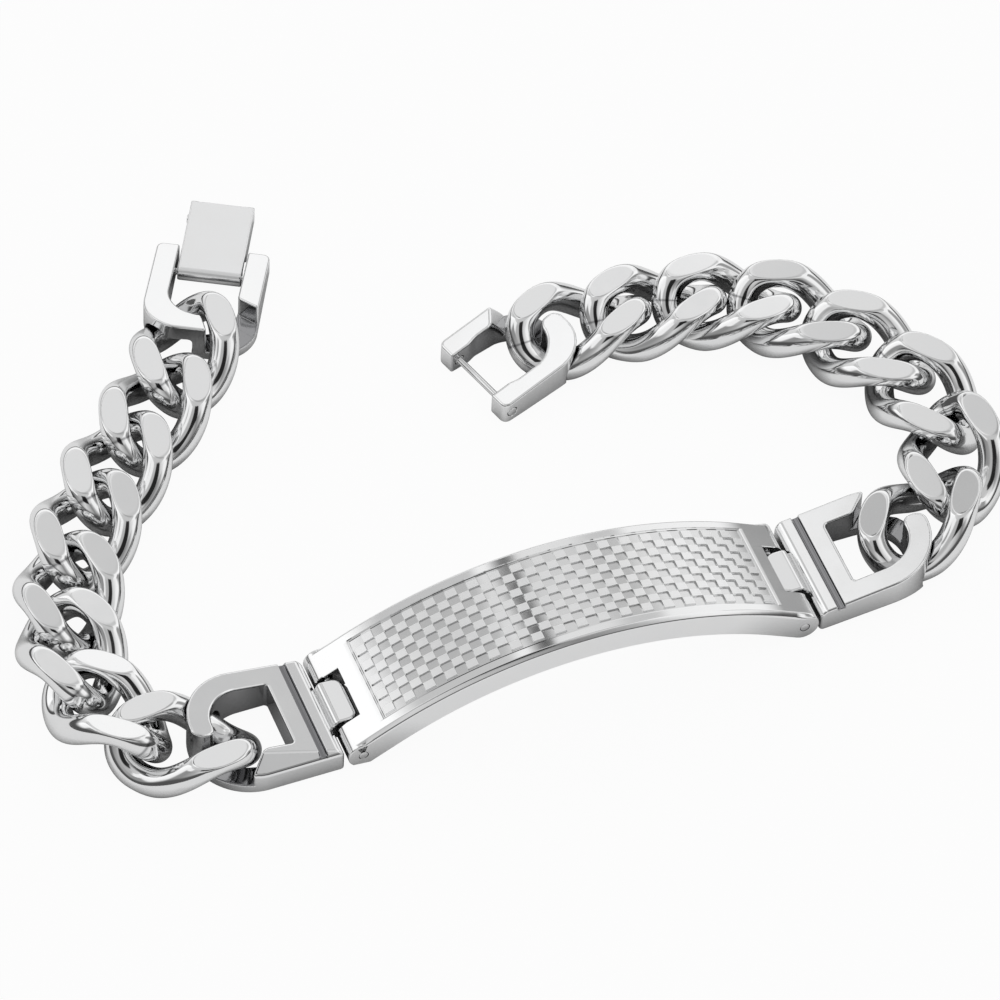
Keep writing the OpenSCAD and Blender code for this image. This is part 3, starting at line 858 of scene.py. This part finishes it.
class PlateMesh:
    """The plate's mesh: rows of points on a loop round its side view, and the walls that close it."""

    def __init__(self):
        self.ys = plate_rows()
        self.loop = plate_loop()
        self.last = len(self.ys) - 1
        self.near, self.far = self.ys.index(-NOTCH_LINE_Y), self.ys.index(NOTCH_LINE_Y)
        self.verts, self.faces, self.slots, self.normals = [], [], [], []
        self.number, self.back_lines = {}, {}
        self.add_points()
        self.add_skin()
        self.add_notch_backs()
        self.add_walls()

    def add(self, face, slot=PLATE_SLOT, normals=None):
        """Adds a face, smooth where no normals are given."""
        self.faces.append(face)
        self.slots.append(slot)
        self.normals.extend(normals or [(0, 0, 0)] * len(face))

    def add_flat(self, face, sign, out):
        """Adds a flat face with the normal out, turned round where sign is negative."""
        self.add(tuple(face if sign > 0 else face[::-1]), normals=[out] * len(face))

    def at(self, part, s, j):
        return self.number[self.loop.index((part, s)), j]

    def add_points(self):
        for j, y in enumerate(self.ys):
            for i, (part, v) in enumerate(self.loop):
                if abs(y) < NOTCH_LINE_Y - TINY and (part in NOSES or abs(v) > NOTCH_LINE_S + TINY):
                    continue
                x, z = plate_point(part, v, y)
                self.number[i, j] = len(self.verts)
                self.verts.append((x, y, z))

    def add_skin(self):
        """The top, the underside and the rounded ends."""
        for j in range(self.last):
            for i, (part, v) in enumerate(self.loop):
                k = (i + 1) % len(self.loop)
                part2, v2 = self.loop[k]
                corners = ((i, j), (k, j), (k, j + 1), (i, j + 1))
                beyond = part in NOSES or part2 in NOSES or abs((v + v2) / 2) > NOTCH_LINE_S
                in_notch = beyond and abs((self.ys[j] + self.ys[j + 1]) / 2) < NOTCH_LINE_Y
                if in_notch or not all(corner in self.number for corner in corners):
                    continue
                look = self.top_look(v, v2, j) if part == part2 == "top" else (PLATE_SLOT, None)
                self.add(tuple(self.number[corner] for corner in corners), *look)

    def top_look(self, s, s2, j):
        """Material slot and normals of the top's quad between the lengths s and s2 in the row j."""
        y, y2 = self.ys[j], self.ys[j + 1]
        drops = [top_drop(a, b) for a, b in ((s, y), (s2, y), (s2, y2), (s, y2))]
        slot, normals = PLATE_SLOT, None
        in_frame = abs((s + s2) / 2) < FRAME_S - GROOVE_LINE
        if in_frame and abs((y + y2) / 2) < FRAME_W / 2 - GROOVE_LINE:
            slot = CHECK_SLOT if max(drops) < TINY else RECESS_SLOT
        if max(drops) - min(drops) < TINY:
            out, out2 = ((nx, 0, nz) for _, _, nx, nz in (plate_line(s), plate_line(s2)))
            normals = [out, out2, out2, out]
        return slot, normals

    def back_line(self, sign, j):
        """The vertices down a notch's back, with two more where walls meet."""
        if (sign, j) not in self.back_lines:
            first, last = (self.at(part, sign * NOTCH_LINE_S, j) for part in ("top", "under"))
            (x, _, z), (x2, _, z2) = self.verts[first], self.verts[last]
            line = [first, last]
            if j in (0, self.near, self.far, self.last):
                line = [first, len(self.verts), len(self.verts) + 1, last]
                for share in (1 / 3, 2 / 3):
                    self.verts.append((x + (x2 - x) * share, self.ys[j], z + (z2 - z) * share))
            self.back_lines[sign, j] = line
        return self.back_lines[sign, j]

    def add_notch_backs(self):
        for sign in (-1, 1):
            for j in range(self.near, self.far):
                face = self.back_line(sign, j) + self.back_line(sign, j + 1)[::-1]
                self.add_flat(face, sign, (sign * math.cos(ARC), 0, -math.sin(ARC)))

    def add_side_wall(self, j, facing):
        """The plate's side between its ears, with a face for each step along."""
        lengths = [s for part, s in self.loop if part == "top" and abs(s) < NOTCH_LINE_S]
        inner = [[self.at(part, s, j) for part in ("top", "under")] for s in lengths]
        lines = [self.back_line(-1, j), *inner, self.back_line(1, j)]
        for start, end in zip(lines, lines[1:]):
            self.add_flat(start[:1] + end + start[:0:-1], facing, (0, facing, 0))

    def add_ear_walls(self, j, facing):
        """The walls of both ears in the row j, as rings round the pin holes; returns the holes' vertices."""
        holes = {}
        for sign in (-1, 1):
            i, stop = (self.loop.index((part, sign * NOTCH_LINE_S)) for part in ("top", "under")[::sign])
            run = [self.number[i, j]]
            while i != stop:
                i = (i + 1) % len(self.loop)
                run.append(self.number[i, j])
            # the ring closes along the notch's back
            run += self.back_line(sign, j)[1:-1][::-sign]
            hole = []
            for x, y, z in [self.verts[n] for n in run]:
                ang = math.atan2(z - NOSE_R, x - sign * PIN_X)
                x, z = sign * PIN_X + PIN_HOLE_R * math.cos(ang), NOSE_R + PIN_HOLE_R * math.sin(ang)
                hole.append(len(self.verts))
                self.verts.append((x, y, z))
            for face in quads_between(run, hole):
                self.add_flat(face, facing, (0, facing, 0))
            holes[sign] = hole
        return holes

    def add_walls(self):
        """The sides, the ears' walls, and the pin holes through the ears."""
        rings = {}
        for j, facing in ((0, -1), (self.last, 1)):
            self.add_side_wall(j, facing)
            rings[j] = self.add_ear_walls(j, facing)
        for j, facing in ((self.near, 1), (self.far, -1)):
            rings[j] = self.add_ear_walls(j, facing)
        for sign in (-1, 1):
            for j, j2 in ((0, self.near), (self.far, self.last)):
                for face in quads_between(rings[j][sign], rings[j2][sign]):
                    self.add(tuple(face))


def name_plate():
    plate = PlateMesh()
    where = frame_at(*PLATE_AT, PLATE_TURN)
    mesh = bpy.data.meshes.new("name_plate")
    mesh.from_pydata((placed(plate.verts, where) * MM).tolist(), [], plate.faces)
    for slot, poly in zip(plate.slots, mesh.polygons):
        poly.material_index = slot
        poly.use_smooth = True
    mesh.set_sharp_from_angle(angle=SHARP_ANGLE)
    mesh.normals_split_custom_set((np.array(plate.normals) @ np.array(where)[:3, :3].T).tolist())
    add_piece("name_plate", mesh, ["id_plate"], [PLATE_STEEL, RECESS_STEEL_AND_SHADE, CHECK_STEEL])


name_plate()


# Pins, from the CAD's solids with rounded rims

PIN_RIM, RIM_SEGMENTS = 0.06, 2
# points closer than this, in metres, become one, and faces flatter than FLAT_ANGLE become one
MERGE = 2e-6
FLAT_ANGLE, RIM_ANGLE = math.radians(1.2), math.radians(40)


def is_rim(edge):
    return edge.is_manifold and edge.calc_face_angle(0) > RIM_ANGLE


def rounded_pin(node):
    """The CAD node's shape, with its rims rounded."""
    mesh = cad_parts[node].data.copy()
    mesh.name = node + "_steel"
    mesh.materials.clear()
    bm = bmesh.new()
    bm.from_mesh(mesh)
    bmesh.ops.remove_doubles(bm, verts=bm.verts, dist=MERGE)
    bmesh.ops.dissolve_limit(
        bm, angle_limit=FLAT_ANGLE, verts=bm.verts, edges=bm.edges, use_dissolve_boundaries=False
    )
    bmesh.ops.bevel(
        bm, geom=[e for e in bm.edges if is_rim(e)], offset=PIN_RIM * MM, offset_type="OFFSET",
        segments=RIM_SEGMENTS, profile=0.5, affect="EDGES", clamp_overlap=True,
    )
    for f in bm.faces:
        f.smooth = True
    for e in bm.edges:
        e.smooth = not is_rim(e)
    bm.to_mesh(mesh)
    bm.free()
    add_piece(node + "_steel", mesh, [node], [PIN_STEEL])


for pin in ("hinge_pin_left", "hinge_pin_right", "clasp_pin_left", "clasp_bar_right"):
    rounded_pin(pin)


# Floor

# half its side, and its drop below the bracelet, in metres
FLOOR_HALF, FLOOR_DROP = 2.5, 0.00002
# what the camera sees: white, with a share of the shade that falls on a grey floor
SHADE_GREY, SHADE_SHARE = 0.9, 0.06
# what the steel sees: paper, part glowing and part lit, with painted shade from an occlusion node where the
# bracelet covers it
PAPER_GREY, GLOW_SHARE = 0.97, 0.5
SHADE_PAINT_REACH, SHADE_PAINT_SAMPLES, SHADE_PAINT_GAMMA = 0.0045, 4, 1.65


def grey(level):
    return (level, level, level, 1)


def mix_shaders(nt, first, second, share):
    """Mixes two nodes' shaders by the share of the second, which is a number or a socket."""
    return add_node(nt, "ShaderNodeMixShader", {"Fac": share, 1: first.outputs[0], 2: second.outputs[0]})


def for_camera(nt, seen, reflected):
    """The shader seen for what the camera sees itself, and the shader reflected for all else."""
    is_camera = nt.nodes.new("ShaderNodeLightPath").outputs["Is Camera Ray"]
    return mix_shaders(nt, reflected, seen, is_camera).outputs[0]


def floor_material():
    mat = bpy.data.materials.new("pale_floor")
    mat.use_nodes = True
    nt = mat.node_tree
    nt.nodes.clear()
    white = add_node(nt, "ShaderNodeEmission", {"Strength": 1.0})
    shade = add_node(nt, "ShaderNodeBsdfDiffuse", {"Color": grey(SHADE_GREY)})
    # painted shade: the paper's colour, for its light and its glow alike, darkens by occlusion near the
    # bracelet
    painted_occlusion = add_node(nt, "ShaderNodeAmbientOcclusion", {"Color": grey(PAPER_GREY), "Distance": SHADE_PAINT_REACH})
    painted_occlusion.samples = SHADE_PAINT_SAMPLES
    dark = add_node(nt, "ShaderNodeGamma", {"Color": painted_occlusion.outputs["Color"], "Gamma": SHADE_PAINT_GAMMA})
    paper = add_node(nt, "ShaderNodeBsdfDiffuse", {"Color": dark.outputs["Color"]})
    glow = add_node(nt, "ShaderNodeEmission", {"Color": dark.outputs["Color"], "Strength": 1.0})
    seen = mix_shaders(nt, white, shade, SHADE_SHARE)
    reflected = mix_shaders(nt, paper, glow, GLOW_SHARE)
    add_node(nt, "ShaderNodeOutputMaterial", {"Surface": for_camera(nt, seen, reflected)})
    return mat


def ground():
    mesh = bpy.data.meshes.new("studio_floor")
    corners = [(x * FLOOR_HALF, y * FLOOR_HALF, 0) for x, y in ((-1, -1), (1, -1), (1, 1), (-1, 1))]
    mesh.from_pydata(corners, [], [(0, 1, 2, 3)])
    floor = bpy.data.objects.new("studio_floor", mesh)
    bpy.context.scene.collection.objects.link(floor)
    floor.location.z = -FLOOR_DROP
    mesh.materials.append(floor_material())


# Light, from the world: bearing 0 is straight away from the camera's side and 90 to the right

# (bearing, level) of the light in three bands of height
LOW_LIGHT = (
    (-180, 0.75), (-158, 0.45), (-128, 0.3), (-108, 0.32), (-98, 1), (-66, 1.2), (-60, 0.75), (-38, 0.82),
    (-12, 1.08), (8, 1.08), (22, 0.98), (58, 1.15), (68, 0.35), (82, 0.35), (92, 1.05), (114, 1),
    (126, 0.5), (140, 0.25), (156, 0.5), (180, 0.75),
)
MID_LIGHT = (
    (-180, 0.02), (-175, 0.02), (-168, 0.5), (-140, 0.5), (-128, 1), (-100, 1), (-66, 1.2), (-60, 0.62),
    (-28, 0.62), (-24.5, 1.02), (-20.5, 1), (-18.5, 0.56), (-11.5, 0.54), (-9.5, 0.87), (8, 0.83),
    (13.5, 0.63), (30, 0.66), (45, 1), (90, 1.05), (128, 0.75), (139, 0.6), (146, 0.02), (180, 0.02),
)
TOP_LIGHT = (
    (-180, 0.03), (-172, 0.03), (-164, 0.55), (-90, 0.7), (-40, 0.7), (-29, 1.12), (-21, 1.1),
    (-16, 0.85), (-8, 0.7), (2, 0.48), (8, 0.42), (30, 0.42), (60, 0.6), (100, 0.7), (136, 0.6),
    (144, 0.03), (180, 0.03),
)
ZENITH_LIGHT = 0.62
# heights, here and below as shares of 90 degrees, that the bands blend over
LOW_TO_MID, MID_TO_TOP, TOP_TO_ZENITH = (37 / 90, 40 / 90), (56 / 90, 60 / 90), (66 / 90, 74 / 90)
# a narrow dark gap between two soft boxes: its darkness by bearing, and the heights where it starts and ends
THIN_GAP = ((-180, 0), (-17.5, 0), (-16, 0.8), (-11.5, 0.8), (-10, 0), (180, 0))
GAP_START, GAP_END = (51 / 90, 53 / 90), (57 / 90, 59 / 90)
# the dark horizon: its height by bearing, its level, and how soft its edge is
HORIZON = (
    (-180, 0.2), (-120, 0.2), (-70, 0.15), (-30, 0.13), (20, 0.12), (60, 0.13), (120, 0.18), (180, 0.2),
)
HORIZON_LEVEL, HORIZON_SOFT = 0.09, 5 / 90


def blend(nt, low, high, share):
    return maths(nt, "MULTIPLY_ADD", maths(nt, "SUBTRACT", high, low), share, low)


def by_bearing(nt, turn, stops):
    """A level by bearing, from (bearing, level) stops; turn is the bearing as a share of a turn."""
    node = add_node(nt, "ShaderNodeValToRGB", {"Fac": turn})
    marks = node.color_ramp.elements
    while len(marks) > 1:
        marks.remove(marks[-1])
    marks[0].position = stops[0][0] / 360 + 0.5
    marks[0].color = grey(stops[0][1])
    for bearing, level in stops[1:]:
        marks.new(bearing / 360 + 0.5).color = grey(level)
    return node.outputs["Color"]


def step_up(nt, height, start, end):
    """A soft step from 0 to 1 between two heights."""
    ends = {"Value": height, "From Min": start, "From Max": end}
    return add_node(nt, "ShaderNodeMapRange", ends, interpolation_type="SMOOTHSTEP").outputs["Result"]


def light_level(nt):
    """Soft boxes and dark gaps round a table, by bearing and height of the direction."""
    xyz = nt.nodes.new("ShaderNodeSeparateXYZ")
    nt.links.new(nt.nodes.new("ShaderNodeTexCoord").outputs["Generated"], xyz.inputs[0])
    bearing = maths(nt, "ARCTAN2", xyz.outputs["X"], xyz.outputs["Y"])
    turn = maths(nt, "MULTIPLY_ADD", bearing, 1 / (2 * math.pi), 0.5)
    height = maths(nt, "MULTIPLY", maths(nt, "ARCSINE", xyz.outputs["Z"]), 2 / math.pi)

    low, mid, top = (by_bearing(nt, turn, stops) for stops in (LOW_LIGHT, MID_LIGHT, TOP_LIGHT))
    level = blend(nt, low, mid, step_up(nt, height, *LOW_TO_MID))
    level = blend(nt, level, top, step_up(nt, height, *MID_TO_TOP))
    level = blend(nt, level, ZENITH_LIGHT, step_up(nt, height, *TOP_TO_ZENITH))

    gap = maths(nt, "MULTIPLY", by_bearing(nt, turn, THIN_GAP), step_up(nt, height, *GAP_START))
    gap = maths(nt, "MULTIPLY", gap, maths(nt, "SUBTRACT", 1.0, step_up(nt, height, *GAP_END)))
    level = maths(nt, "MULTIPLY", level, maths(nt, "SUBTRACT", 1.0, gap))

    horizon = by_bearing(nt, turn, HORIZON)
    start = maths(nt, "SUBTRACT", horizon, HORIZON_SOFT)
    end = maths(nt, "ADD", horizon, HORIZON_SOFT)
    return blend(nt, HORIZON_LEVEL, level, step_up(nt, height, start, end))


def studio():
    """The world: white for the camera, and the studio's light for all else."""
    world = bpy.data.worlds.new("studio_light")
    bpy.context.scene.world = world
    world.use_nodes = True
    nt = world.node_tree
    nt.nodes.clear()
    light = add_node(nt, "ShaderNodeBackground", {"Color": grey(1), "Strength": light_level(nt)})
    seen = add_node(nt, "ShaderNodeBackground", {"Color": grey(1)})
    add_node(nt, "ShaderNodeOutputWorld", {"Surface": for_camera(nt, seen, light)})


# Camera, at the photograph's angle: its height and lean as angles, and its distance in metres

CAMERA_RISE, CAMERA_LEAN, CAMERA_AWAY = math.radians(50.5), math.radians(3.0), 0.8
PIXELS_PER_MM, SENSOR = 10.4, 36.0
CLIP_START, CLIP_END = 0.05, 20


def camera():
    side = Vector((1, 0, 0))
    upright = Vector((0, math.sin(CAMERA_RISE), math.cos(CAMERA_RISE)))
    back = Vector((0, -math.cos(CAMERA_RISE), math.sin(CAMERA_RISE)))
    right = math.cos(CAMERA_LEAN) * side + math.sin(CAMERA_LEAN) * upright
    up = -math.sin(CAMERA_LEAN) * side + math.cos(CAMERA_LEAN) * upright
    spot = Vector((-MID[0] * MM, -MID[1] * MM, 0)) + CAMERA_AWAY * back
    cam = bpy.data.cameras.new("camera")
    obj = bpy.data.objects.new("camera", cam)
    bpy.context.scene.collection.objects.link(obj)
    obj.matrix_world = Matrix.Translation(spot) @ Matrix((right, up, back)).transposed().to_4x4()
    # the picture is 1000 pixels across, and a metre has 1000 millimetres
    cam.sensor_width = SENSOR
    cam.lens = SENSOR * PIXELS_PER_MM * CAMERA_AWAY
    cam.clip_start = CLIP_START
    cam.clip_end = CLIP_END
    bpy.context.scene.camera = obj


ground()
studio()
camera()
bpy.context.scene.view_settings.view_transform = "Standard"
